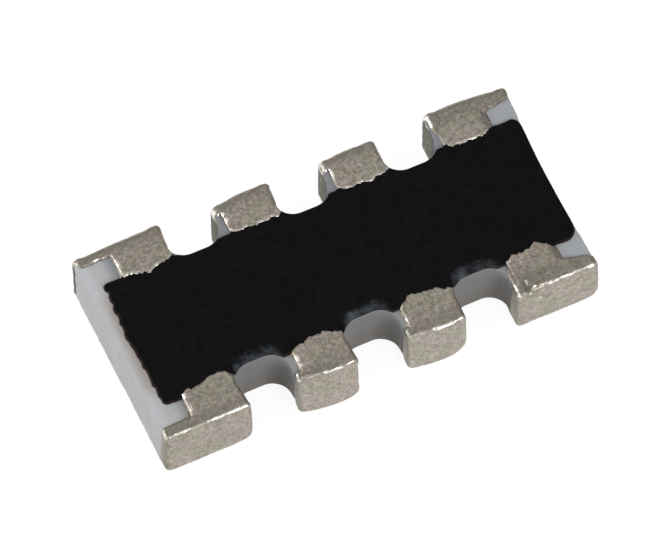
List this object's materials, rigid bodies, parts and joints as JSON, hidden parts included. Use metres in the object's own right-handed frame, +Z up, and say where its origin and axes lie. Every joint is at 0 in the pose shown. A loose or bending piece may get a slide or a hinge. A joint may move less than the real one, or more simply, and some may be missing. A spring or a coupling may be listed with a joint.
{
  "type": "chip resistor network",
  "caption": "Surface-mount chip resistor network: a notched white ceramic bar with a black coat over its resistors and wrap-around tin terminals along both long sides.",
  "frame": {"origin": "middle of the chip, level with the undersides of the terminals", "axes": "+X along the chip's length, +Y from the front row of terminals to the back row, +Z up through the black coat"},
  "size_m": [0.0032, 0.0016, 0.0005],
  "materials": {
    "alumina": "matte fired ceramic",
    "black_coat": "satin printed resin",
    "resistor_film": "fired film",
    "glass_coat": "glossy fired glass",
    "silver_print": "fired silver paste",
    "edge_metal": "thin metal film",
    "nickel": "matte plating",
    "matte_tin": "fine-grained matte plating"
  },
  "bodies": {
    "root": {"substrate": "alumina", "overcoat": "black_coat", "resistor_film_1": "resistor_film", "resistor_film_2": "resistor_film", "resistor_film_3": "resistor_film", "resistor_film_4": "resistor_film", "glass_undercoat_1": "glass_coat", "glass_undercoat_2": "glass_coat", "glass_undercoat_3": "glass_coat", "glass_undercoat_4": "glass_coat", "front_top_conductor_1": "silver_print", "front_top_conductor_2": "silver_print", "front_top_conductor_3": "silver_print", "front_top_conductor_4": "silver_print", "back_top_conductor_1": "silver_print", "back_top_conductor_2": "silver_print", "back_top_conductor_3": "silver_print", "back_top_conductor_4": "silver_print", "front_bottom_conductor_1": "silver_print", "front_bottom_conductor_2": "silver_print", "front_bottom_conductor_3": "silver_print", "front_bottom_conductor_4": "silver_print", "back_bottom_conductor_1": "silver_print", "back_bottom_conductor_2": "silver_print", "back_bottom_conductor_3": "silver_print", "back_bottom_conductor_4": "silver_print", "front_edge_conductor_1": "edge_metal", "front_edge_conductor_2": "edge_metal", "front_edge_conductor_3": "edge_metal", "front_edge_conductor_4": "edge_metal", "back_edge_conductor_1": "edge_metal", "back_edge_conductor_2": "edge_metal", "back_edge_conductor_3": "edge_metal", "back_edge_conductor_4": "edge_metal", "front_nickel_barrier_1": "nickel", "front_nickel_barrier_2": "nickel", "front_nickel_barrier_3": "nickel", "front_nickel_barrier_4": "nickel", "back_nickel_barrier_1": "nickel", "back_nickel_barrier_2": "nickel", "back_nickel_barrier_3": "nickel", "back_nickel_barrier_4": "nickel", "front_tin_terminal_1": "matte_tin", "front_tin_terminal_2": "matte_tin", "front_tin_terminal_3": "matte_tin", "front_tin_terminal_4": "matte_tin", "back_tin_terminal_1": "matte_tin", "back_tin_terminal_2": "matte_tin", "back_tin_terminal_3": "matte_tin", "back_tin_terminal_4": "matte_tin"}
  },
  "joints": []
}
